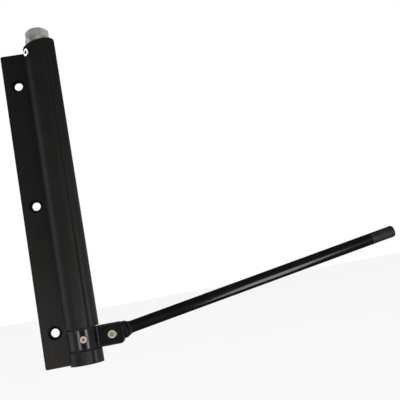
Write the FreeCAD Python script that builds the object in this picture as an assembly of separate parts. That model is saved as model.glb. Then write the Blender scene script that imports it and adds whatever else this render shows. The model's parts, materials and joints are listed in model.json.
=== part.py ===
import FreeCAD, Part
import math
import os

# Spring door closer: a tube on a screw-on plate holds a torsion spring. The spring turns an arm
# that swings in a slot near the tube's lower end, and a guide rod is pivoted on the arm.
# Millimetres. The origin is the middle screw hole on the plate's back face, +X runs from the
# plate to the tube, -Y is the side that faces the room, and +Z is up along the tube.

# --- Housing -------------------------------------------------------------------------------
PLATE_LENGTH = 220.0
PLATE_THICKNESS = 3.0
PLATE_LEFT = -9.45
PLATE_CORNER = 1.2
HOLE_PITCH = 87.0
HOLE_RADIUS = 2.9
COUNTERSINK_RADIUS = 4.5
TUBE_X = 19.4
TUBE_RADIUS = 11.0
BORE_RADIUS = 9.2
WEB_FILLET = 2.5
EXTRUSION_LINE_ANGLE = -60.2
EXTRUSION_LINE_RADIUS = 1.5
EXTRUSION_LINE_DEPTH = 0.3

# --- The tube's sloping mouth, measured where the mouth crosses the tube's axis ----------------
MOUTH_HEIGHT = 111.1
MOUTH_SLOPE = 12.0
MOUTH_ROUNDING = 0.4

# --- Slot for the arm ------------------------------------------------------------------------
ARM_HEIGHT = -93.9
SLOT_HEIGHT = 15.0
SLOT_LEFT = 7.2
SLOT_BACK_LEFT = 12.0
SLOT_CORNER = 1.5

# --- Arm strap -------------------------------------------------------------------------------
STRAP_HEIGHT = 14.0
STRAP_THICKNESS = 2.0
STRAP_LOOP_OUTER = 10.45
STRAP_BEND = 1.0
STRAP_CORNER = 2.6
STRAP_EDGE_ROUNDING = 0.3
EAR_GAP = 5.0
EAR_END = 26.4
PIVOT_REACH = 19.2

# --- Guide rod -------------------------------------------------------------------------------
ROD_RADIUS = 4.0
ROD_LENGTH = 204.0
ROD_TILT = 9.4
EYE_RADIUS = 5.6
EYE_THICKNESS = 4.4
EYE_STRAIGHT = 8.0
EYE_SIDE_STRAIGHT = 8.55
EYE_BLEND = 13.0
EYE_SHOULDER = 3.0
CAP_LENGTH = 17.0
CAP_END_WALL = 3.0
CAP_SPIGOT_RADIUS = 3.3
CAP_END_ROUNDING = 1.4

# --- Torsion spring --------------------------------------------------------------------------
WIRE_RADIUS = 1.4
COIL_RADIUS = 6.6
COIL_TURNS = 50
TANG_BEND = 1.8
TANG_LENGTH = 3.6
TANG_HOLE_RADIUS = 1.55
SPRING_STANDOFF = 2.0
SPIGOT_RADIUS = 4.9
CORE_RADIUS = 2.9
CORE_CHAMFER = 0.5
CORE_ENTRY = 2.5

# --- Tension adjuster ------------------------------------------------------------------------
HEX_ACROSS_FLATS = 14.0
HEX_TOP = 121.8
HEX_BASE = 114.8
HEX_TOP_RADIUS = 6.0
HEX_CHAMFER_ANGLE = 33.0
COLLAR_RADIUS = 8.5
PLUG_TOP = 108.4
PLUG_BASE = 96.0
CORE_SOCKET_DEPTH = 3.0
LOCK_HEIGHT = 104.0
LOCK_ANGLE = -135.0
GROOVE_RADIUS = 7.4
GROOVE_WIDTH = 4.8

# --- Spindle, bushes, cap and clearances -------------------------------------------------------
JOURNAL_RADIUS = 5.5
UPPER_BUSH_LENGTH = 12.0
LOWER_BUSH_LENGTH = 5.1
SQUARE_WIDTH = 6.0
SEAT_RADIUS = 8.85
SEAT_THICKNESS = 4.0
HUB_LENGTH = 7.0
THRUST_WASHER_THICKNESS = 0.5
RING_THICKNESS = 1.0
RING_OUTER = 7.2
RING_SPLIT = 3.0
RING_GROOVE_RADIUS = 4.75
RING_GAP = 0.3
SPINDLE_TAIL = 0.8
CAP_WALL = 1.2
RUNNING_GAP = 0.05
TURNING_GAP = 0.08
PRESSED_GAP = 0.04
FACE_GAP = 0.1

# --- Fasteners (radii are half the nominal thread size) ----------------------------------------
LOCK_SCREW_RADIUS = 2.0
LOCK_SCREW_CHAMFER = 0.4
LOCK_HEAD_RADIUS = 2.8
LOCK_HEAD_BASE = 9.8
LOCK_HEAD_TOP = 11.7
LOCK_HEAD_ROUNDING = 0.4
LOCK_SPOT_GAP = 0.4
LOCK_SOCKET_WIDTH = 2.5
LOCK_SOCKET_DEPTH = 1.6
ARM_SCREW_RADIUS = 2.5
ARM_SCREW_TOP = 10.3
ARM_SCREW_LENGTH = 6.0
ARM_SCREW_ANGLE = 5.0
ARM_SCREW_ROUNDING = 0.4
ARM_SOCKET_WIDTH = 2.0
ARM_SOCKET_DEPTH = 2.0
PIVOT_SCREW_RADIUS = 2.5
PIVOT_SCREW_ROUNDING = 0.4
PIVOT_SCREW_TAIL = 0.6
PIVOT_HEAD_RADIUS = 3.4
PIVOT_HEAD_HEIGHT = 2.6
PIVOT_HEAD_ROUNDING = 1.5
PIVOT_SOCKET_WIDTH = 3.0
PIVOT_SOCKET_DEPTH = 1.6
PIVOT_WASHER_RADIUS = 4.5
PIVOT_WASHER_THICKNESS = 0.6
NUT_WASHER_THICKNESS = 0.5
NUT_ACROSS_FLATS = 8.0
NUT_HEIGHT = 4.0
NUT_CHAMFER_ANGLE = 30.0
ROD_WASHER_THICKNESS = 0.25
ROD_WASHER_RADIUS = 5.0
SLEEVE_RADIUS = 3.2

# --- Places that follow from the sizes above -------------------------------------------------
TUBE_Y = -TUBE_RADIUS
PLATE_TOP = PLATE_LENGTH / 2
PLATE_BOTTOM = -PLATE_LENGTH / 2
SLOT_TOP = ARM_HEIGHT + SLOT_HEIGHT / 2
SLOT_BOTTOM = ARM_HEIGHT - SLOT_HEIGHT / 2
EAR_OUTER = EAR_GAP / 2 + STRAP_THICKNESS
STRAP_LOOP_INNER = STRAP_LOOP_OUTER - STRAP_THICKNESS
NECK_RADIUS = STRAP_LOOP_INNER - RUNNING_GAP
NECK_INSET = THRUST_WASHER_THICKNESS + 2 * RUNNING_GAP
SEAT_BASE = SLOT_TOP + UPPER_BUSH_LENGTH + FACE_GAP
SEAT_TOP = SEAT_BASE + SEAT_THICKNESS
LOWER_BUSH_BASE = SLOT_BOTTOM - LOWER_BUSH_LENGTH
RING_TOP = LOWER_BUSH_BASE - RING_GAP
SPINDLE_BASE = RING_TOP - RING_THICKNESS - SPINDLE_TAIL
ARM_SCREW_BASE = ARM_SCREW_TOP - ARM_SCREW_LENGTH
PIVOT_X = TUBE_X + PIVOT_REACH

OVERCUT = 1.0
TOUCH = 1e-4
SEWING_GAP = 1e-5
UP = FreeCAD.Vector(0, 0, 1)
ORIGIN = FreeCAD.Vector(0, 0, 0)


def point(x, y, z=0.0):
    return FreeCAD.Vector(x, y, z)


def turned(outline):
    """A solid turned about the local Z axis from (radius, height) points."""
    points = [point(radius, 0, height) for radius, height in outline]
    wire = Part.makePolygon(points + points[:1])
    return Part.Face(wire).revolve(ORIGIN, UP, 360)


def disc(radius, low, high):
    return Part.makeCylinder(radius, high - low, point(0, 0, low))


def ring(outer, inner, low, high):
    return disc(outer, low, high).cut(disc(inner, low - OVERCUT, high + OVERCUT))


def prism(sides, across_flats, low, high):
    """An upright prism with a regular outline, one flat facing -Y."""
    corner_radius = across_flats / 2 / math.cos(math.pi / sides)
    corners = []
    for index in range(sides):
        angle = math.radians(-90 + 180 / sides + index * 360 / sides)
        corners.append(point(corner_radius * math.cos(angle), corner_radius * math.sin(angle), low))
    face = Part.Face(Part.makePolygon(corners + corners[:1]))
    return face.extrude(point(0, 0, high - low))


def socket(across_flats, depth, top):
    """The hexagon socket that is sunk into a screw's top."""
    return prism(6, across_flats, top - depth, top + OVERCUT)


def rounded(shape, radius, chosen):
    """Fillet the edges for which chosen(edge) is true."""
    edges = [edge for edge in shape.Edges if chosen(edge)]
    return shape.makeFillet(radius, edges)


def edge_at_height(height):
    """A test for edges that lie flat at this height."""
    def chosen(edge):
        box = edge.BoundBox
        return abs(box.ZMin - height) < TOUCH and abs(box.ZMax - height) < TOUCH
    return chosen


def aimed(shape, start, direction):
    """Move a shape so that its local Z axis starts at a point and runs along a direction."""
    moved = shape.copy()
    moved.Placement = FreeCAD.Placement(start, FreeCAD.Rotation(UP, direction))
    return moved


def on_tube_axis(shape):
    moved = shape.copy()
    moved.translate(point(TUBE_X, TUBE_Y))
    return moved


def radial(angle):
    """The unit direction out of the tube at an angle from +X."""
    return point(math.cos(math.radians(angle)), math.sin(math.radians(angle)))


def across_arm(shape, y):
    """Lay a turned shape along the pivot line, with its base at y and its top towards -Y."""
    return aimed(shape, point(PIVOT_X, y, ARM_HEIGHT), point(0, -1, 0))


# --- Housing and the pieces fixed in it ------------------------------------------------------
def housing_section():
    """The extrusion's outline: a plate whose back is tangent to the tube, and a filleted web."""
    fillet_y = -PLATE_THICKNESS - WEB_FILLET
    reach = TUBE_RADIUS + WEB_FILLET
    fillet_x = TUBE_X - math.sqrt(reach ** 2 - (fillet_y - TUBE_Y) ** 2)
    towards_tube = point(TUBE_X - fillet_x, TUBE_Y - fillet_y) * (1 / reach)
    tube_end = point(fillet_x, fillet_y) + towards_tube * WEB_FILLET
    plate_end = point(fillet_x, -PLATE_THICKNESS)
    towards_middle = point(towards_tube.x, towards_tube.y + 1).normalize()
    fillet_middle = point(fillet_x, fillet_y) + towards_middle * WEB_FILLET
    back_left = point(PLATE_LEFT, 0)
    front_left = point(PLATE_LEFT, -PLATE_THICKNESS)
    tube_back = point(TUBE_X, 0)
    tube_front = point(TUBE_X, TUBE_Y - TUBE_RADIUS)
    edges = [
        Part.makeLine(back_left, tube_back),
        Part.Arc(tube_back, tube_front, tube_end).toShape(),
        Part.Arc(tube_end, fillet_middle, plate_end).toShape(),
        Part.makeLine(plate_end, front_left),
        Part.makeLine(front_left, back_left),
    ]
    return Part.Face(Part.Wire(edges))


def screw_hole(height):
    """A countersunk hole through the plate."""
    depth = COUNTERSINK_RADIUS - HOLE_RADIUS
    inwards = point(0, 1, 0)
    hole = Part.makeCylinder(
        HOLE_RADIUS, PLATE_THICKNESS + 2 * OVERCUT, point(0, -PLATE_THICKNESS - OVERCUT, height), inwards)
    sink = Part.makeCone(
        COUNTERSINK_RADIUS + OVERCUT, HOLE_RADIUS, depth + OVERCUT,
        point(0, -PLATE_THICKNESS - OVERCUT, height), inwards)
    return hole.fuse(sink)


def lock_screw_hole():
    """The lock screw's hole in the tube wall, with a flat spot for its head."""
    reach = TUBE_RADIUS + OVERCUT
    hole = disc(LOCK_SCREW_RADIUS + RUNNING_GAP, 0, reach)
    spot = disc(LOCK_HEAD_RADIUS + LOCK_SPOT_GAP, LOCK_HEAD_BASE - RUNNING_GAP, reach)
    return aimed(hole.fuse(spot), point(TUBE_X, TUBE_Y, LOCK_HEIGHT), radial(LOCK_ANGLE))


def extrusion_line():
    """A shallow groove that runs down the front of the tube."""
    distance = TUBE_RADIUS + EXTRUSION_LINE_RADIUS - EXTRUSION_LINE_DEPTH
    place = point(TUBE_X, TUBE_Y, PLATE_BOTTOM - OVERCUT) + radial(EXTRUSION_LINE_ANGLE) * distance
    return Part.makeCylinder(EXTRUSION_LINE_RADIUS, 2 * PLATE_LENGTH, place, UP)


def above_mouth():
    """All that lies above the tube's sloping mouth, apart from the plate."""
    reach = 2 * TUBE_RADIUS
    above = Part.makeBox(2 * reach, 2 * reach, reach, point(-reach, -reach, 0))
    above.rotate(ORIGIN, point(0, 1, 0), -MOUTH_SLOPE)
    above.translate(point(TUBE_X, TUBE_Y, MOUTH_HEIGHT))
    plate = Part.makeBox(
        TUBE_X - PLATE_LEFT, PLATE_THICKNESS + OVERCUT, PLATE_TOP,
        point(PLATE_LEFT, -PLATE_THICKNESS, 0))
    return above.cut(plate)


def arm_slot():
    """The slot for the arm: down to the plate on the left, and right through behind the loop."""
    front = OVERCUT - 2 * (TUBE_RADIUS + OVERCUT)
    ahead = Part.makeBox(
        PIVOT_X - SLOT_LEFT, -PLATE_THICKNESS - front, SLOT_HEIGHT, point(SLOT_LEFT, front, SLOT_BOTTOM))
    ahead = rounded(ahead, SLOT_CORNER, lambda edge: (
        abs(edge.BoundBox.XMax - SLOT_LEFT) < TOUCH and edge.BoundBox.ZLength < TOUCH))
    through = Part.makeBox(
        PIVOT_X - SLOT_BACK_LEFT, OVERCUT - front, SLOT_HEIGHT,
        point(SLOT_BACK_LEFT, front, SLOT_BOTTOM))
    return ahead.fuse(through).removeSplitter()


def on_mouth_rim(edge):
    """True for the mouth's outer edge, which lies on the sloping plane and on the tube."""
    slope = math.tan(math.radians(MOUTH_SLOPE))
    for place in edge.discretize(5):
        off_plane = place.z - MOUTH_HEIGHT - (place.x - TUBE_X) * slope
        off_tube = math.hypot(place.x - TUBE_X, place.y - TUBE_Y) - TUBE_RADIUS
        if abs(off_plane) > TOUCH or abs(off_tube) > TOUCH:
            return False
    return True


def housing():
    section = housing_section()
    section.translate(point(0, 0, PLATE_BOTTOM))
    body = section.extrude(point(0, 0, PLATE_LENGTH))
    neck = on_tube_axis(disc(TUBE_RADIUS, PLATE_TOP - OVERCUT, PLATE_TOP + TUBE_RADIUS))
    body = body.fuse(neck).removeSplitter().cut(above_mouth())
    body = rounded(body, MOUTH_ROUNDING, on_mouth_rim)
    body = rounded(body, PLATE_CORNER, lambda edge: (
        abs(edge.BoundBox.XMax - PLATE_LEFT) < TOUCH and edge.BoundBox.ZLength < TOUCH))
    body = body.cut(on_tube_axis(disc(BORE_RADIUS, PLATE_BOTTOM - OVERCUT, PLATE_TOP + TUBE_RADIUS)))
    body = body.cut(extrusion_line()).cut(arm_slot())
    for row in (-1, 0, 1):
        body = body.cut(screw_hole(row * HOLE_PITCH))
    return body.cut(lock_screw_hole())


def bush(low, high):
    """A plain bush, pressed into the tube, that the spindle turns in."""
    return on_tube_axis(ring(BORE_RADIUS - PRESSED_GAP, JOURNAL_RADIUS + RUNNING_GAP, low, high))


def upper_bush():
    return bush(SLOT_TOP, SLOT_TOP + UPPER_BUSH_LENGTH)


def lower_bush():
    return bush(LOWER_BUSH_BASE, SLOT_BOTTOM)


def bottom_cap():
    """A pressed-in cup that closes the tube's lower end."""
    outer = BORE_RADIUS - PRESSED_GAP
    inner = outer - CAP_WALL
    rim = LOWER_BUSH_BASE - FACE_GAP
    floor = PLATE_BOTTOM + CAP_WALL
    cup = turned([
        (0, PLATE_BOTTOM), (outer, PLATE_BOTTOM), (outer, rim), (inner, rim), (inner, floor), (0, floor)])
    return on_tube_axis(cup)


# --- Tension adjuster ------------------------------------------------------------------------
def tang_hole(side, low, high):
    """The hole that takes a bent spring end, which lies one bend radius off the X axis."""
    hole = disc(TANG_HOLE_RADIUS, low, high)
    hole.translate(point(COIL_RADIUS, side * TANG_BEND))
    return hole


def tension_adjuster():
    """A grooved plug that winds the spring, turned from above by its hexagon."""
    groove_low = LOCK_HEIGHT - GROOVE_WIDTH / 2
    groove_high = LOCK_HEIGHT + GROOVE_WIDTH / 2
    plug_radius = BORE_RADIUS - TURNING_GAP
    core_bore = CORE_RADIUS + TURNING_GAP
    spigot_base = PLUG_BASE - HUB_LENGTH
    bore_top = PLUG_BASE + CORE_SOCKET_DEPTH
    plug = turned([
        (core_bore, spigot_base), (SPIGOT_RADIUS, spigot_base), (SPIGOT_RADIUS, PLUG_BASE),
        (plug_radius, PLUG_BASE), (plug_radius, groove_low), (GROOVE_RADIUS, groove_low),
        (GROOVE_RADIUS, groove_high), (plug_radius, groove_high), (plug_radius, PLUG_TOP),
        (COLLAR_RADIUS, PLUG_TOP), (COLLAR_RADIUS, HEX_BASE), (0, HEX_BASE), (0, bore_top),
        (core_bore, bore_top)])
    corner = HEX_ACROSS_FLATS / math.sqrt(3)
    chamfer = (corner - HEX_TOP_RADIUS) * math.tan(math.radians(HEX_CHAMFER_ANGLE))
    dome = turned([
        (0, HEX_BASE), (corner, HEX_BASE), (corner, HEX_TOP - chamfer), (HEX_TOP_RADIUS, HEX_TOP),
        (0, HEX_TOP)])
    head = prism(6, HEX_ACROSS_FLATS, HEX_BASE, HEX_TOP).common(dome)
    whole = plug.fuse(head).removeSplitter()
    whole = whole.cut(tang_hole(1, PLUG_BASE - OVERCUT, PLUG_BASE + TANG_LENGTH + OVERCUT))
    return on_tube_axis(whole)


def lock_screw():
    """A socket screw in the tube wall. Its tip sits in the adjuster's groove and clamps it."""
    tip = GROOVE_RADIUS + 2 * FACE_GAP
    screw = turned([
        (0, tip), (LOCK_SCREW_RADIUS - LOCK_SCREW_CHAMFER, tip),
        (LOCK_SCREW_RADIUS, tip + LOCK_SCREW_CHAMFER), (LOCK_SCREW_RADIUS, LOCK_HEAD_BASE),
        (LOCK_HEAD_RADIUS, LOCK_HEAD_BASE), (LOCK_HEAD_RADIUS, LOCK_HEAD_TOP), (0, LOCK_HEAD_TOP)])
    screw = rounded(screw, LOCK_HEAD_ROUNDING, edge_at_height(LOCK_HEAD_TOP))
    screw = screw.cut(socket(LOCK_SOCKET_WIDTH, LOCK_SOCKET_DEPTH, LOCK_HEAD_TOP))
    return aimed(screw, point(TUBE_X, TUBE_Y, LOCK_HEIGHT), radial(LOCK_ANGLE))


# --- Torsion spring --------------------------------------------------------------------------
def wire_skin(solid):
    """The round faces of a piece of wire, without its flat ends."""
    return [face for face in solid.Faces if face.Surface.TypeId != "Part::GeomPlane"]


def torsion_spring():
    """A right-hand coil with an upright tang at each end.

    Each half turn is a semicircle, tilted so that it climbs by half the pitch. All of them cross
    the plane Y = 0 at right angles, so they meet smoothly.
    """
    low = SEAT_TOP + SPRING_STANDOFF
    pitch = (PLUG_BASE - SPRING_STANDOFF - low) / COIL_TURNS
    east = point(1, 0)
    end = Part.Face(Part.Wire(Part.makeCircle(
        WIRE_RADIUS, point(COIL_RADIUS, -TANG_BEND, low - TANG_BEND - TANG_LENGTH), UP)))
    skin = [end.copy()]

    def run_straight(end):
        skin.extend(wire_skin(end.extrude(UP * TANG_LENGTH)))
        end.translate(UP * TANG_LENGTH)

    def run_round(end, centre, axis, angle):
        skin.extend(wire_skin(end.revolve(centre, axis, angle)))
        end.rotate(centre, axis, angle)

    run_straight(end)
    run_round(end, point(COIL_RADIUS, 0, low - TANG_BEND), east * -1, 90)
    for half_turn in range(2 * COIL_TURNS):
        side = 1 if half_turn % 2 == 0 else -1
        middle = point(0, 0, low + pitch / 4 + half_turn * pitch / 2)
        run_round(end, middle, point(side * pitch / 4, 0, COIL_RADIUS), 180)
    run_round(end, point(COIL_RADIUS, 0, PLUG_BASE - SPRING_STANDOFF + TANG_BEND), east, 90)
    run_straight(end)
    shell = Part.makeShell(skin + [end])
    shell.sewShape(SEWING_GAP)
    return on_tube_axis(Part.makeSolid(shell))


def spring_seat():
    """The disc that drives the spring's lower end. A square hole keys it to the spindle."""
    hub_top = SEAT_TOP + HUB_LENGTH
    seat = disc(SEAT_RADIUS, SEAT_BASE, SEAT_TOP).fuse(disc(SPIGOT_RADIUS, SEAT_TOP - OVERCUT, hub_top))
    seat = seat.removeSplitter()
    seat = seat.cut(prism(4, SQUARE_WIDTH + 2 * RUNNING_GAP, SEAT_BASE - OVERCUT, SEAT_TOP))
    seat = seat.cut(disc(CORE_RADIUS + PRESSED_GAP, SEAT_TOP, hub_top + OVERCUT))
    seat = seat.cut(tang_hole(-1, SEAT_BASE - OVERCUT, SEAT_TOP + OVERCUT))
    return on_tube_axis(seat)


def core_rod():
    """The rod inside the coils, which keeps the long spring straight."""
    top = PLUG_BASE + CORE_ENTRY
    rod = turned([
        (0, SEAT_TOP), (CORE_RADIUS, SEAT_TOP), (CORE_RADIUS, top - CORE_CHAMFER),
        (CORE_RADIUS - CORE_CHAMFER, top), (0, top)])
    return on_tube_axis(rod)


# --- Spindle -----------------------------------------------------------------------------------
def along_arm_screw(shape):
    """Lay a shape along the arm screw's line, out from the spindle's axis."""
    return aimed(shape, point(0, 0, ARM_HEIGHT), radial(ARM_SCREW_ANGLE - 90))


def arm_spindle():
    """The shaft that carries the arm, turns in both bushes and drives the spring seat."""
    groove_low = RING_TOP - RING_THICKNESS - RUNNING_GAP
    groove_high = RING_TOP + RUNNING_GAP
    neck_low = SLOT_BOTTOM + NECK_INSET
    neck_high = SLOT_TOP - NECK_INSET
    shoulder = SEAT_BASE - RUNNING_GAP
    shaft = turned([
        (0, SPINDLE_BASE), (RING_GROOVE_RADIUS, SPINDLE_BASE), (JOURNAL_RADIUS, groove_low),
        (RING_GROOVE_RADIUS, groove_low), (RING_GROOVE_RADIUS, groove_high),
        (JOURNAL_RADIUS, groove_high), (JOURNAL_RADIUS, neck_low), (NECK_RADIUS, neck_low),
        (NECK_RADIUS, neck_high), (JOURNAL_RADIUS, neck_high), (JOURNAL_RADIUS, shoulder),
        (0, shoulder)])
    square = prism(4, SQUARE_WIDTH, shoulder - OVERCUT, SEAT_TOP - FACE_GAP)
    shaft = shaft.fuse(square).removeSplitter()
    hole = disc(ARM_SCREW_RADIUS + RUNNING_GAP, ARM_SCREW_BASE - FACE_GAP, NECK_RADIUS + OVERCUT)
    return on_tube_axis(shaft.cut(along_arm_screw(hole)))


def thrust_washers():
    """Two washers, between the spindle's neck and the bush above and below it."""
    inner = JOURNAL_RADIUS + RUNNING_GAP
    above = SLOT_TOP - RUNNING_GAP - THRUST_WASHER_THICKNESS
    below = SLOT_BOTTOM + RUNNING_GAP
    washers = [ring(NECK_RADIUS, inner, low, low + THRUST_WASHER_THICKNESS) for low in (below, above)]
    return on_tube_axis(Part.makeCompound(washers))


def retaining_ring():
    """A split ring in the spindle's groove, under the lower bush."""
    base = RING_TOP - RING_THICKNESS
    whole = ring(RING_OUTER, RING_GROOVE_RADIUS + RUNNING_GAP, base, RING_TOP)
    opening = Part.makeBox(
        RING_OUTER + OVERCUT, RING_SPLIT, RING_THICKNESS + 2 * OVERCUT,
        point(0, -RING_SPLIT / 2, base - OVERCUT))
    return on_tube_axis(whole.cut(opening))


# --- Arm ---------------------------------------------------------------------------------------
def strap_outline():
    """One strip bent round the spindle, with both ends brought forward as parallel ears."""
    outer_bend = STRAP_BEND
    inner_bend = STRAP_BEND + STRAP_THICKNESS
    bend_y = EAR_OUTER + outer_bend
    bend_reach = STRAP_LOOP_OUTER + outer_bend
    bend_x = math.sqrt(bend_reach ** 2 - bend_y ** 2)
    towards_loop = math.atan2(bend_y, bend_x) + math.pi
    half_way = (towards_loop + math.pi * 3 / 2) / 2

    def side(loop_radius, ear_y, bend_radius):
        """One face of the strip, from the +Y ear's end to the -Y ear's end."""
        loop_x = bend_x * loop_radius / bend_reach
        loop_y = bend_y * loop_radius / bend_reach
        middle_x = bend_x + bend_radius * math.cos(half_way)
        middle_y = bend_y + bend_radius * math.sin(half_way)
        upper = [point(bend_x, ear_y), point(middle_x, middle_y), point(loop_x, loop_y)]
        lower = [point(place.x, -place.y) for place in reversed(upper)]
        return [
            Part.makeLine(point(EAR_END, ear_y), upper[0]),
            Part.Arc(*upper).toShape(),
            Part.Arc(upper[2], point(-loop_radius, 0), lower[0]).toShape(),
            Part.Arc(*lower).toShape(),
            Part.makeLine(lower[2], point(EAR_END, -ear_y)),
        ]

    outer = side(STRAP_LOOP_OUTER, EAR_OUTER, outer_bend)
    inner = side(STRAP_LOOP_INNER, EAR_GAP / 2, inner_bend)
    ends = [
        Part.makeLine(point(EAR_END, sign * EAR_GAP / 2), point(EAR_END, sign * EAR_OUTER))
        for sign in (1, -1)]
    return Part.Face(Part.Wire(Part.__sortEdges__(outer + inner + ends)))


def arm_strap():
    face = strap_outline()
    face.translate(point(0, 0, ARM_HEIGHT - STRAP_HEIGHT / 2))
    strap = face.extrude(point(0, 0, STRAP_HEIGHT))
    strap = rounded(strap, STRAP_CORNER, lambda edge: (
        abs(edge.BoundBox.XMin - EAR_END) < TOUCH and edge.BoundBox.ZLength < TOUCH))
    lower_edge = edge_at_height(ARM_HEIGHT - STRAP_HEIGHT / 2)
    strap = rounded(strap, STRAP_EDGE_ROUNDING, lambda edge: (
        lower_edge(edge) and edge.BoundBox.XLength > TOUCH))
    pivot_hole = aimed(
        disc(PIVOT_SCREW_RADIUS + FACE_GAP, -EAR_OUTER - OVERCUT, EAR_OUTER + OVERCUT),
        point(PIVOT_REACH, 0, ARM_HEIGHT), point(0, -1, 0))
    loop_hole = along_arm_screw(disc(ARM_SCREW_RADIUS + 2 * FACE_GAP, 0, STRAP_LOOP_OUTER + OVERCUT))
    return on_tube_axis(strap.cut(pivot_hole).cut(loop_hole))


def arm_screw():
    """The socket screw that pins the strap to the spindle, level with the strap's surface."""
    screw = disc(ARM_SCREW_RADIUS, ARM_SCREW_BASE, ARM_SCREW_TOP)
    screw = rounded(screw, ARM_SCREW_ROUNDING, edge_at_height(ARM_SCREW_TOP))
    screw = screw.cut(socket(ARM_SOCKET_WIDTH, ARM_SOCKET_DEPTH, ARM_SCREW_TOP))
    return on_tube_axis(along_arm_screw(screw))


def pivot_screw():
    """A button-head socket screw through both ears and the rod's eye."""
    base = TUBE_Y + EAR_OUTER + NUT_WASHER_THICKNESS + NUT_HEIGHT + PIVOT_SCREW_TAIL
    head_base = base - (TUBE_Y - EAR_OUTER - PIVOT_WASHER_THICKNESS)
    head_top = head_base + PIVOT_HEAD_HEIGHT
    shank = rounded(disc(PIVOT_SCREW_RADIUS, 0, head_top), PIVOT_SCREW_ROUNDING, edge_at_height(0))
    head = disc(PIVOT_HEAD_RADIUS, head_base, head_top)
    head = rounded(head, PIVOT_HEAD_ROUNDING, edge_at_height(head_top))
    screw = shank.fuse(head).removeSplitter()
    screw = screw.cut(socket(PIVOT_SOCKET_WIDTH, PIVOT_SOCKET_DEPTH, head_top))
    return across_arm(screw, base)


def pivot_washer():
    washer = ring(PIVOT_WASHER_RADIUS, PIVOT_SCREW_RADIUS + FACE_GAP, 0, PIVOT_WASHER_THICKNESS)
    return across_arm(washer, TUBE_Y - EAR_OUTER)


def nut_washer():
    washer = ring(PIVOT_WASHER_RADIUS, PIVOT_SCREW_RADIUS + FACE_GAP, 0, NUT_WASHER_THICKNESS)
    return across_arm(washer, TUBE_Y + EAR_OUTER + NUT_WASHER_THICKNESS)


def pivot_nut():
    """A hexagon nut, chamfered on both faces."""
    corner = NUT_ACROSS_FLATS / math.sqrt(3)
    flat = NUT_ACROSS_FLATS / 2
    chamfer = (corner - flat) * math.tan(math.radians(NUT_CHAMFER_ANGLE))
    limits = turned([
        (0, 0), (flat, 0), (corner, chamfer), (corner, NUT_HEIGHT - chamfer), (flat, NUT_HEIGHT),
        (0, NUT_HEIGHT)])
    nut = prism(6, NUT_ACROSS_FLATS, 0, NUT_HEIGHT).common(limits)
    nut = nut.cut(disc(PIVOT_SCREW_RADIUS + RUNNING_GAP, -OVERCUT, NUT_HEIGHT + OVERCUT))
    return across_arm(nut, TUBE_Y + EAR_OUTER + NUT_WASHER_THICKNESS + NUT_HEIGHT)


# --- Guide rod ---------------------------------------------------------------------------------
def rod_washers():
    """A thin washer on each side of the rod's eye, inside the ears."""
    washer = ring(ROD_WASHER_RADIUS, PIVOT_SCREW_RADIUS + FACE_GAP, 0, ROD_WASHER_THICKNESS)
    front = across_arm(washer, TUBE_Y - EAR_GAP / 2 + ROD_WASHER_THICKNESS)
    back = across_arm(washer, TUBE_Y + EAR_GAP / 2)
    return Part.makeCompound([front, back])


def pivot_sleeve():
    """The bush in the rod's eye, which turns on the pivot screw."""
    sleeve = ring(SLEEVE_RADIUS, PIVOT_SCREW_RADIUS + RUNNING_GAP, 0, EYE_THICKNESS)
    return across_arm(sleeve, TUBE_Y + EYE_THICKNESS / 2)


def tapering_profile(wide, length_start, tip):
    """Half an outline along X: a straight side that eases down or up to the rod's radius."""
    ease = Part.BezierCurve()
    ease.setPoles([
        point(length_start, wide), point((length_start + EYE_BLEND) / 2, wide),
        point((length_start + EYE_BLEND) / 2, ROD_RADIUS), point(EYE_BLEND, ROD_RADIUS)])
    return [Part.makeLine(point(tip, wide), point(length_start, wide)), ease.toShape()]


def mirrored(edges):
    return [edge.mirror(ORIGIN, point(0, 1, 0)) for edge in edges]


def rod_eye():
    """The rod's flattened end, lying along X with its eye across Y."""
    half_eye = EYE_THICKNESS / 2
    side = tapering_profile(half_eye, EYE_SIDE_STRAIGHT, -EYE_RADIUS)
    side_ends = [
        Part.makeLine(point(end_x, -half), point(end_x, half))
        for end_x, half in ((-EYE_RADIUS, half_eye), (EYE_BLEND, ROD_RADIUS))]
    side_face = Part.Face(Part.Wire(Part.__sortEdges__(side + mirrored(side) + side_ends)))
    side_face.translate(point(0, 0, -EYE_RADIUS - OVERCUT))
    slab = side_face.extrude(point(0, 0, 2 * (EYE_RADIUS + OVERCUT)))

    front = tapering_profile(EYE_RADIUS, EYE_STRAIGHT, 0)
    front_ends = [
        Part.makeLine(point(EYE_BLEND, -ROD_RADIUS), point(EYE_BLEND, ROD_RADIUS)),
        Part.Arc(point(0, EYE_RADIUS), point(-EYE_RADIUS, 0), point(0, -EYE_RADIUS)).toShape()]
    front_face = Part.Face(Part.Wire(Part.__sortEdges__(front + mirrored(front) + front_ends)))
    front_face.translate(point(0, 0, -ROD_RADIUS))
    plan = front_face.extrude(point(0, 0, 2 * ROD_RADIUS))
    plan.rotate(ORIGIN, point(1, 0, 0), 90)

    wide = ROD_RADIUS + EYE_SHOULDER
    start = -EYE_RADIUS - OVERCUT
    shoulder = turned([
        (0, start), (wide, start), (wide, EYE_BLEND - EYE_SHOULDER), (ROD_RADIUS, EYE_BLEND),
        (0, EYE_BLEND)])
    shoulder.rotate(ORIGIN, point(0, 1, 0), 90)
    hole = Part.makeCylinder(
        SLEEVE_RADIUS + PRESSED_GAP, 2 * ROD_RADIUS, point(0, -ROD_RADIUS, 0), point(0, 1, 0))
    return slab.common(plan).common(shoulder).cut(hole)


def tilted_rod(shape):
    """Move a shape that lies along X from the origin to the pivot, at the rod's rest tilt."""
    moved = shape.copy()
    moved.rotate(ORIGIN, point(0, 1, 0), -ROD_TILT)
    moved.translate(point(PIVOT_X, TUBE_Y, ARM_HEIGHT))
    return moved


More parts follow.
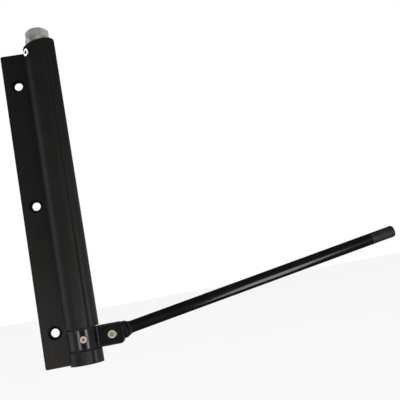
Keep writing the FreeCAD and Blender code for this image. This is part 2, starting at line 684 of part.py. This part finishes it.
def guide_rod():
    cap_start = ROD_LENGTH - CAP_LENGTH
    spigot_end = ROD_LENGTH - CAP_END_WALL
    shaft = turned([
        (0, EYE_BLEND), (ROD_RADIUS, EYE_BLEND), (ROD_RADIUS, cap_start), (CAP_SPIGOT_RADIUS, cap_start),
        (CAP_SPIGOT_RADIUS, spigot_end), (0, spigot_end)])
    shaft.rotate(ORIGIN, point(0, 1, 0), 90)
    return tilted_rod(shaft.fuse(rod_eye()).removeSplitter())


def rod_end_cap():
    """A round-ended sleeve cap over the rod's spigot, flush with the rod."""
    cap = disc(ROD_RADIUS, ROD_LENGTH - CAP_LENGTH, ROD_LENGTH)
    cap = rounded(cap, CAP_END_ROUNDING, edge_at_height(ROD_LENGTH))
    socket_end = ROD_LENGTH - CAP_END_WALL + FACE_GAP
    cap = cap.cut(disc(CAP_SPIGOT_RADIUS + PRESSED_GAP, 0, socket_end))
    cap.rotate(ORIGIN, point(0, 1, 0), 90)
    return tilted_rod(cap)


PIECES = {
    "housing": housing,
    "upper_bush": upper_bush,
    "lower_bush": lower_bush,
    "bottom_cap": bottom_cap,
    "tension_adjuster": tension_adjuster,
    "lock_screw": lock_screw,
    "torsion_spring": torsion_spring,
    "spring_seat": spring_seat,
    "core_rod": core_rod,
    "arm_spindle": arm_spindle,
    "thrust_washers": thrust_washers,
    "retaining_ring": retaining_ring,
    "arm_strap": arm_strap,
    "arm_screw": arm_screw,
    "pivot_screw": pivot_screw,
    "pivot_washer": pivot_washer,
    "nut_washer": nut_washer,
    "pivot_nut": pivot_nut,
    "rod_washers": rod_washers,
    "pivot_sleeve": pivot_sleeve,
    "guide_rod": guide_rod,
    "rod_end_cap": rod_end_cap,
}

os.makedirs("parts", exist_ok=True)
for name, make in PIECES.items():
    piece = make()
    piece.exportStep(f"parts/{name}.step")
    print(name, piece.isValid(), len(piece.Solids), round(piece.Volume, 1))
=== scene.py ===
import json
import math

import bpy
from mathutils import Matrix, Vector


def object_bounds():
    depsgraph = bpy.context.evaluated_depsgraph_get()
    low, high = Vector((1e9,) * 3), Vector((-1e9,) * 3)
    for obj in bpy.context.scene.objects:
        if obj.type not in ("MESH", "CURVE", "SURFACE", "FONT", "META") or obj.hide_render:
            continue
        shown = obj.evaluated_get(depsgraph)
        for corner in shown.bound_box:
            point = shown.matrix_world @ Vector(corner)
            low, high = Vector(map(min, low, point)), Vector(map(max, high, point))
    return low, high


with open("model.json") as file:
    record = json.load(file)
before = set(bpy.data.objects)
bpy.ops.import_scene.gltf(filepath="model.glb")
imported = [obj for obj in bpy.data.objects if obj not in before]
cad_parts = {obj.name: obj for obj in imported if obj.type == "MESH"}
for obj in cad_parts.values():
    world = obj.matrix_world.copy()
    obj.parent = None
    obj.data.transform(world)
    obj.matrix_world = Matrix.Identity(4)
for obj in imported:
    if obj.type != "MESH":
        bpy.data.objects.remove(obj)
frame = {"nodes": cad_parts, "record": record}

cad_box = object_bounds()

# The camera stands in front of the closer, low and a little to its right, and looks up at it.
CAMERA_AT = Vector((0.0752, -0.4330, -0.0736))
CAMERA_YAW = 4.9
CAMERA_PITCH = 7.71
CAMERA_ROLL = -10.5
LENS_MM = 56.04
SENSOR_MM = 36
NEAR_CLIP = 0.01

# The floor lies this far below the closer and reaches this far to each side, in metres.
FLOOR_DROP = 0.16
FLOOR_REACH = 30.0

# Places that the finish follows, in metres: painted shade along the groove down the tube's front
# and round the screw holes, and rougher rims on the arm.
LINE_CENTRE = (0.02487, -0.02055)
LINE_REACH = 0.0016
LINE_SHADE = 0.25
HOLE_PITCH = 0.087
COUNTERSINK_RADIUS = 0.0047
ARM_HEIGHT = -0.0939
STRAP_RIM = 0.0067

# Studio light. The room that the object reflects is brightest just below the horizon.
TUBE_MIDDLE = Vector((0.0194, -0.011, -0.06))
ROOM_STRENGTH = 0.40
# height of the reflected direction (0 straight down, 1 straight up) and brightness there
ROOM_BANDS = [(0.0, 0.02), (0.22, 0.10), (0.40, 1.0), (0.50, 0.75), (0.70, 0.0)]
# directions, by their Y, between which the room darkens towards the front, and how dark it gets
SHADE_FULL_Y = -0.99
SHADE_END_Y = -0.95
FRONT_SHADE = 0.15
WHITE = (1, 1, 1)
WARM = (1, 0.91, 0.82)
BODY = ("housing", "bottom_cap")
STRAP = ("arm_strap",)
ROD = ("guide_rod", "rod_end_cap")
HEAD = ("tension_adjuster",)
LOCK = ("lock_screw",)
SCREWS = ("arm_screw", "pivot_screw", "pivot_nut")
# name, lit pieces, azimuth and elevation in degrees, distance, width, height (m), power (W), colour
LAMPS = [
    ("left_strip", STRAP, -27.5, -3, 0.9, 0.22, 0.34, 1.00, WHITE),
    ("right_strip", STRAP, 30.5, -3, 0.9, 0.22, 0.34, 1.30, WHITE),
    ("far_right_strip", STRAP, 113, -3, 0.9, 0.10, 0.34, 0.20, WHITE),
    ("left_box", BODY + STRAP, -88, 6, 0.9, 0.46, 0.90, 0.50, WHITE),
    ("front_glow", BODY, 14, -18, 0.6, 0.20, 0.14, 0.36, WARM),
    ("right_box", BODY, 56, -16, 0.7, 0.44, 0.20, 2.10, WARM),
    ("plate_glow", BODY, -12, -10, 0.5, 0.20, 0.16, 0.10, WARM),
    ("screw_box", SCREWS, 5, 2, 0.9, 0.70, 0.70, 1.00, WARM),
    ("head_box", HEAD, 20, 22, 0.9, 0.70, 0.70, 2.20, WHITE),
    ("head_side", HEAD, -95, 20, 0.9, 0.60, 0.70, 2.60, WHITE),
    ("head_right", HEAD, 105, 20, 0.9, 0.60, 0.70, 1.80, WHITE),
    ("lock_box", LOCK, -97, 22, 0.9, 0.60, 0.70, 2.00, WHITE),
]
ROD_LAMP_AT = Vector((0.216, -0.205, -0.215))
ROD_LAMP_TARGET = Vector((0.172, -0.011, -0.072))
ROD_LAMP_WIDTH = 0.11
ROD_LAMP_HEIGHT = 0.24
ROD_LAMP_POWER = 0.40


# --- Node helpers ----------------------------------------------------------------------------
class Recipe:
    """One procedural material and short calls that add its nodes."""

    def __init__(self, name, colour, metallic, roughness):
        self.material = bpy.data.materials.new(name)
        self.material.use_nodes = True
        self.nodes = self.material.node_tree.nodes
        self.links = self.material.node_tree.links
        self.shader = self.nodes["Principled BSDF"]
        self.shader.inputs["Base Color"].default_value = (*colour, 1)
        self.shader.inputs["Metallic"].default_value = metallic
        self.shader.inputs["Roughness"].default_value = roughness
        self.place = self.nodes.new("ShaderNodeTexCoord").outputs["Object"]

    def stretched(self, scale):
        mapping = self.nodes.new("ShaderNodeMapping")
        mapping.inputs["Scale"].default_value = scale
        self.links.new(self.place, mapping.inputs["Vector"])
        return mapping.outputs["Vector"]

    def noise(self, scale, detail=4.0, stretch=(1, 1, 1)):
        node = self.nodes.new("ShaderNodeTexNoise")
        node.inputs["Scale"].default_value = scale
        node.inputs["Detail"].default_value = detail
        self.links.new(self.stretched(stretch), node.inputs["Vector"])
        return node.outputs["Fac"]

    def ranged(self, value, low, high, start=0.3, end=0.7):
        node = self.nodes.new("ShaderNodeMapRange")
        self.links.new(value, node.inputs["Value"])
        node.inputs["From Min"].default_value = start
        node.inputs["From Max"].default_value = end
        node.inputs["To Min"].default_value = low
        node.inputs["To Max"].default_value = high
        return node.outputs["Result"]

    def mixed(self, factor, first, second):
        node = self.nodes.new("ShaderNodeMix")
        node.data_type = "RGBA"
        self.links.new(factor, node.inputs["Factor"])
        for socket, colour in ((node.inputs["A"], first), (node.inputs["B"], second)):
            if isinstance(colour, tuple):
                socket.default_value = (*colour, 1)
            else:
                self.links.new(colour, socket)
        return node.outputs["Result"]

    def cavities(self, reach):
        """0 in sockets, corners and recesses and 1 on open faces."""
        node = self.nodes.new("ShaderNodeAmbientOcclusion")
        node.samples = 8
        node.inputs["Distance"].default_value = reach
        return self.ranged(node.outputs["AO"], 0, 1, 0.35, 0.85)

    def maths(self, operation, first, second=0.0):
        node = self.nodes.new("ShaderNodeMath")
        node.operation = operation
        for socket, value in zip(node.inputs, (first, second)):
            if isinstance(value, (int, float)):
                socket.default_value = value
            else:
                self.links.new(value, socket)
        return node.outputs["Value"]

    def axes(self):
        parts = self.nodes.new("ShaderNodeSeparateXYZ")
        self.links.new(self.place, parts.inputs["Vector"])
        return parts.outputs

    def distance(self, across, up):
        """How far a place is from a line, from its two offsets across the line."""
        across_squared = self.maths("MULTIPLY", across, across)
        up_squared = self.maths("MULTIPLY", up, up)
        return self.maths("SQRT", self.maths("ADD", across_squared, up_squared))

    def colour(self, socket):
        self.links.new(socket, self.shader.inputs["Base Color"])

    def roughness(self, socket):
        self.links.new(socket, self.shader.inputs["Roughness"])

    def bump(self, height, depth, strength=1.0):
        node = self.nodes.new("ShaderNodeBump")
        node.inputs["Strength"].default_value = strength
        node.inputs["Distance"].default_value = depth
        self.links.new(height, node.inputs["Height"])
        self.links.new(node.outputs["Normal"], self.shader.inputs["Normal"])


# --- Materials -------------------------------------------------------------------------------
def black_anodised():
    """Satin black extrusion with die lines, and painted shade along the groove, in the countersinks and in
    recesses.
    """
    recipe = Recipe("black_anodised", (0.006, 0.006, 0.006), 0.0, 0.38)
    die_lines = recipe.noise(900, 3, (1, 1, 0.01))
    mottle = recipe.noise(60, 5)
    cloud = recipe.ranged(mottle, 0, 1)
    skin = recipe.mixed(cloud, (0.0050, 0.0050, 0.0048), (0.0078, 0.0076, 0.0072))
    x, y, z = recipe.axes()
    from_line = recipe.distance(
        recipe.maths("SUBTRACT", x, LINE_CENTRE[0]), recipe.maths("SUBTRACT", y, LINE_CENTRE[1]))
    shifted = recipe.maths("ADD", z, HOLE_PITCH / 2)
    row = recipe.maths("SUBTRACT", z, recipe.maths("SNAP", shifted, HOLE_PITCH))
    from_hole = recipe.distance(x, row)
    # Painted shade: the colour darkens along the groove down the tube's front, and in a disc of countersink
    # radius round each screw hole's axis that reaches the back face too.
    off_groove_shade = recipe.ranged(from_line, LINE_SHADE, 1, LINE_REACH * 0.2, LINE_REACH)
    off_countersink_shade = recipe.ranged(from_hole, 0, 1, COUNTERSINK_RADIUS * 0.97, COUNTERSINK_RADIUS * 1.06)
    outside_groove_and_hole_shade = recipe.maths("MULTIPLY", off_groove_shade, off_countersink_shade)
    # Painted shade in corners and recesses too. Where shade is painted, the colour goes to the near-black
    # 0.0008 and the roughness rises.
    outside_painted_shade = recipe.maths("MULTIPLY", outside_groove_and_hole_shade, recipe.cavities(0.004))
    recipe.colour(recipe.mixed(outside_painted_shade, (0.0008, 0.0008, 0.0008), skin))
    dulled = recipe.ranged(outside_painted_shade, 0.5, 0.0, 0, 1)
    recipe.roughness(recipe.maths("ADD", recipe.ranged(die_lines, 0.34, 0.44), dulled))
    recipe.bump(die_lines, 0.00004, 0.5)
    return recipe.material


def gloss_black_steel(name, rim_dulled):
    """Steel with a smooth gloss black coat, dull where parts meet and, if asked, along the strap's rims."""
    recipe = Recipe(name, (0.005, 0.005, 0.005), 0.0, 0.16)
    ripple = recipe.noise(350, 4)
    mottle = recipe.noise(90, 4)
    cloud = recipe.ranged(mottle, 0, 1)
    recipe.colour(recipe.mixed(cloud, (0.0040, 0.0040, 0.0038), (0.0070, 0.0066, 0.0062)))
    dulled = recipe.ranged(recipe.cavities(0.002), 0.6, 0.0, 0, 1)
    if rim_dulled:
        from_middle = recipe.maths("SUBTRACT", recipe.axes()["Z"], ARM_HEIGHT)
        rim = recipe.maths("ABSOLUTE", from_middle)
        dull_rim = recipe.ranged(rim, 0.0, 0.5, STRAP_RIM - 0.001, STRAP_RIM)
        dulled = recipe.maths("MAXIMUM", dulled, dull_rim)
    recipe.roughness(recipe.maths("ADD", recipe.ranged(ripple, 0.14, 0.20), dulled))
    recipe.bump(ripple, 0.00003, 0.2)
    return recipe.material


def grey_casting():
    """Tumbled zinc casting, slightly grainy, with painted shade in its recesses."""
    recipe = Recipe("grey_casting", (0.30, 0.29, 0.28), 0.6, 0.40)
    grain = recipe.noise(1400, 6)
    cloud = recipe.noise(220, 4)
    skin = recipe.mixed(recipe.ranged(cloud, 0, 1), (0.26, 0.254, 0.245), (0.36, 0.35, 0.335))
    # Painted shade: the colour darkens to (0.05, 0.048, 0.045) in sockets, corners and recesses.
    recipe.colour(recipe.mixed(recipe.cavities(0.003), (0.05, 0.048, 0.045), skin))
    recipe.roughness(recipe.ranged(cloud, 0.34, 0.48))
    recipe.bump(grain, 0.00006, 0.5)
    return recipe.material


def bright_steel(name, socket_shade_colour):
    """Nickel-plated screws with painted shade in their sockets and recesses."""
    recipe = Recipe(name, (0.78, 0.74, 0.68), 1.0, 0.22)
    scuffs = recipe.noise(1800, 5)
    plating = recipe.mixed(recipe.ranged(scuffs, 0, 1), (0.74, 0.68, 0.60), (0.84, 0.80, 0.74))
    # Painted shade: in sockets and recesses the colour goes to the shade colour passed in.
    recipe.colour(recipe.mixed(recipe.cavities(0.0025), socket_shade_colour, plating))
    recipe.roughness(recipe.ranged(scuffs, 0.16, 0.32))
    recipe.bump(scuffs, 0.00002, 0.4)
    return recipe.material


def plain_metal(name, colour, roughness):
    """Turned or drawn steel and bronze inside the body."""
    recipe = Recipe(name, colour, 1.0, roughness)
    turning = recipe.noise(2500, 3, (0.1, 0.1, 1))
    recipe.roughness(recipe.ranged(turning, roughness - 0.06, roughness + 0.08))
    recipe.bump(turning, 0.00002, 0.4)
    return recipe.material


def moulding(name, dark, light, roughness):
    """Moulded plastic with a fine spark-eroded grain."""
    recipe = Recipe(name, dark, 0.0, roughness)
    grain = recipe.noise(3000, 4)
    cloud = recipe.noise(200, 3)
    recipe.colour(recipe.mixed(recipe.ranged(cloud, 0, 1), dark, light))
    recipe.roughness(recipe.ranged(grain, roughness - 0.08, roughness + 0.08))
    recipe.bump(grain, 0.00004, 0.6)
    return recipe.material


def black_oxide():
    """Blackened washers, browner in patches."""
    recipe = Recipe("black_washer", (0.02, 0.017, 0.014), 0.7, 0.4)
    patch = recipe.noise(900, 5)
    recipe.colour(recipe.mixed(recipe.ranged(patch, 0, 1), (0.014, 0.012, 0.010), (0.045, 0.036, 0.027)))
    recipe.roughness(recipe.ranged(patch, 0.32, 0.5))
    recipe.bump(patch, 0.00002, 0.5)
    return recipe.material


def dress(node, material):
    """Give a CAD node one material."""
    mesh = frame["nodes"][node].data
    mesh.materials.clear()
    mesh.materials.append(material)


def dress_nodes():
    """Each node gets the finish of its slot in the record; two nodes get a variant of theirs."""
    finishes = {
        "black_anodised": black_anodised(),
        "gloss_black_steel": gloss_black_steel("gloss_black_steel", False),
        "grey_casting": grey_casting(),
        # the second colour is the painted shade in the screws' sockets
        "bright_steel": bright_steel("bright_steel", (0.26, 0.22, 0.18)),
        "turned_steel": plain_metal("turned_steel", (0.30, 0.29, 0.28), 0.42),
        "spring_steel": plain_metal("spring_steel", (0.16, 0.15, 0.14), 0.40),
        "bronze": plain_metal("bronze", (0.60, 0.42, 0.22), 0.40),
        "bush_plastic": moulding("bush_plastic", (0.006, 0.006, 0.006), (0.010, 0.010, 0.0095), 0.5),
        "black_plastic": moulding("black_plastic", (0.011, 0.011, 0.011), (0.018, 0.018, 0.017), 0.55),
        "black_washer": black_oxide(),
    }
    for part in frame["record"]["subparts"]:
        dress(part["node"], finishes[part["material_slot"]])
    dress("arm_strap", gloss_black_steel("strap_black", True))
    # The lock screw's painted shade in its socket is lighter.
    dress("lock_screw", bright_steel("lock_screw_steel", (0.58, 0.55, 0.50)))


# --- Studio ----------------------------------------------------------------------------------
def floor():
    low = cad_box[0]
    level = low.z - FLOOR_DROP
    mesh = bpy.data.meshes.new("studio_floor")
    signs = ((-1, -1), (1, -1), (1, 1), (-1, 1))
    corners = [(x * FLOOR_REACH, y * FLOOR_REACH, level) for x, y in signs]
    mesh.from_pydata(corners, [], [(0, 1, 2, 3)])
    plane = bpy.data.objects.new("studio_floor", mesh)
    bpy.context.scene.collection.objects.link(plane)
    recipe = Recipe("studio_floor", (0.985, 0.985, 0.985), 0.0, 0.9)
    mesh.materials.append(recipe.material)
    plane.visible_glossy = False


def softbox(name, lit, at, target, width, height, power, colour):
    """A rectangular lamp that lights only some of the pieces, as a shaded studio lamp does."""
    light = bpy.data.lights.new(name, "AREA")
    light.shape = "RECTANGLE"
    light.size = width
    light.size_y = height
    light.energy = power
    light.color = colour
    lamp = bpy.data.objects.new(name, light)
    lamp.location = at
    lamp.rotation_euler = (target - at).to_track_quat("-Z", "Y").to_euler()
    bpy.context.scene.collection.objects.link(lamp)
    receivers = bpy.data.collections.new(name + "_lit")
    for node in lit:
        receivers.objects.link(frame["nodes"][node])
    lamp.light_linking.receiver_collection = receivers


def surroundings():
    """White for the camera and for soft light; in reflections, a room in bands of brightness."""
    world = bpy.data.worlds.new("studio")
    world.use_nodes = True
    nodes = world.node_tree.nodes
    links = world.node_tree.links
    shown = nodes["Background"]
    shown.inputs["Color"].default_value = (1, 1, 1, 1)
    shown.inputs["Strength"].default_value = 1.0
    direction = nodes.new("ShaderNodeTexCoord").outputs["Generated"]
    parts = nodes.new("ShaderNodeSeparateXYZ")
    links.new(direction, parts.inputs["Vector"])
    climb = nodes.new("ShaderNodeMapRange")
    climb.inputs["From Min"].default_value = -1.0
    links.new(parts.outputs["Z"], climb.inputs["Value"])
    bands = nodes.new("ShaderNodeValToRGB")
    ramp = bands.color_ramp
    ramp.elements.remove(ramp.elements[1])
    for index, (height, level) in enumerate(ROOM_BANDS):
        stop = ramp.elements[0] if index == 0 else ramp.elements.new(height)
        stop.position = height
        stop.color = (level, level, level, 1)
    links.new(climb.outputs["Result"], bands.inputs["Fac"])
    shade = nodes.new("ShaderNodeMapRange")
    shade.inputs["From Min"].default_value = SHADE_FULL_Y
    shade.inputs["From Max"].default_value = SHADE_END_Y
    shade.inputs["To Min"].default_value = FRONT_SHADE * ROOM_STRENGTH
    shade.inputs["To Max"].default_value = ROOM_STRENGTH
    links.new(parts.outputs["Y"], shade.inputs["Value"])
    reflected = nodes.new("ShaderNodeBackground")
    links.new(bands.outputs["Color"], reflected.inputs["Color"])
    links.new(shade.outputs["Result"], reflected.inputs["Strength"])
    path = nodes.new("ShaderNodeLightPath")
    mix = nodes.new("ShaderNodeMixShader")
    links.new(path.outputs["Is Glossy Ray"], mix.inputs["Fac"])
    links.new(shown.outputs["Background"], mix.inputs[1])
    links.new(reflected.outputs["Background"], mix.inputs[2])
    links.new(mix.outputs["Shader"], nodes["World Output"].inputs["Surface"])
    bpy.context.scene.world = world


def around(azimuth, elevation, distance):
    """A place around the tube; azimuth 0 is in front of it and 90 is to its right."""
    turn = math.radians(azimuth)
    rise = math.radians(elevation)
    flat = distance * math.cos(rise)
    offset = Vector((flat * math.sin(turn), -flat * math.cos(turn), distance * math.sin(rise)))
    return TUBE_MIDDLE + offset


def lights():
    for name, lit, azimuth, elevation, distance, width, height, power, colour in LAMPS:
        place = around(azimuth, elevation, distance)
        softbox(name, lit, place, TUBE_MIDDLE, width, height, power, colour)
    softbox(
        "rod_lamp", ROD, ROD_LAMP_AT, ROD_LAMP_TARGET,
        ROD_LAMP_WIDTH, ROD_LAMP_HEIGHT, ROD_LAMP_POWER, WHITE)


def camera():
    lens = bpy.data.cameras.new("photo_view")
    lens.lens = LENS_MM
    lens.sensor_width = SENSOR_MM
    lens.clip_start = NEAR_CLIP
    viewer = bpy.data.objects.new("photo_view", lens)
    turn = (
        Matrix.Rotation(math.radians(-CAMERA_YAW), 4, "Z")
        @ Matrix.Rotation(math.radians(90 + CAMERA_PITCH), 4, "X")
        @ Matrix.Rotation(math.radians(CAMERA_ROLL), 4, "Z"))
    viewer.matrix_world = Matrix.Translation(CAMERA_AT) @ turn
    bpy.context.scene.collection.objects.link(viewer)
    bpy.context.scene.camera = viewer


dress_nodes()
floor()
surroundings()
lights()
camera()
bpy.context.scene.view_settings.view_transform = "Standard"
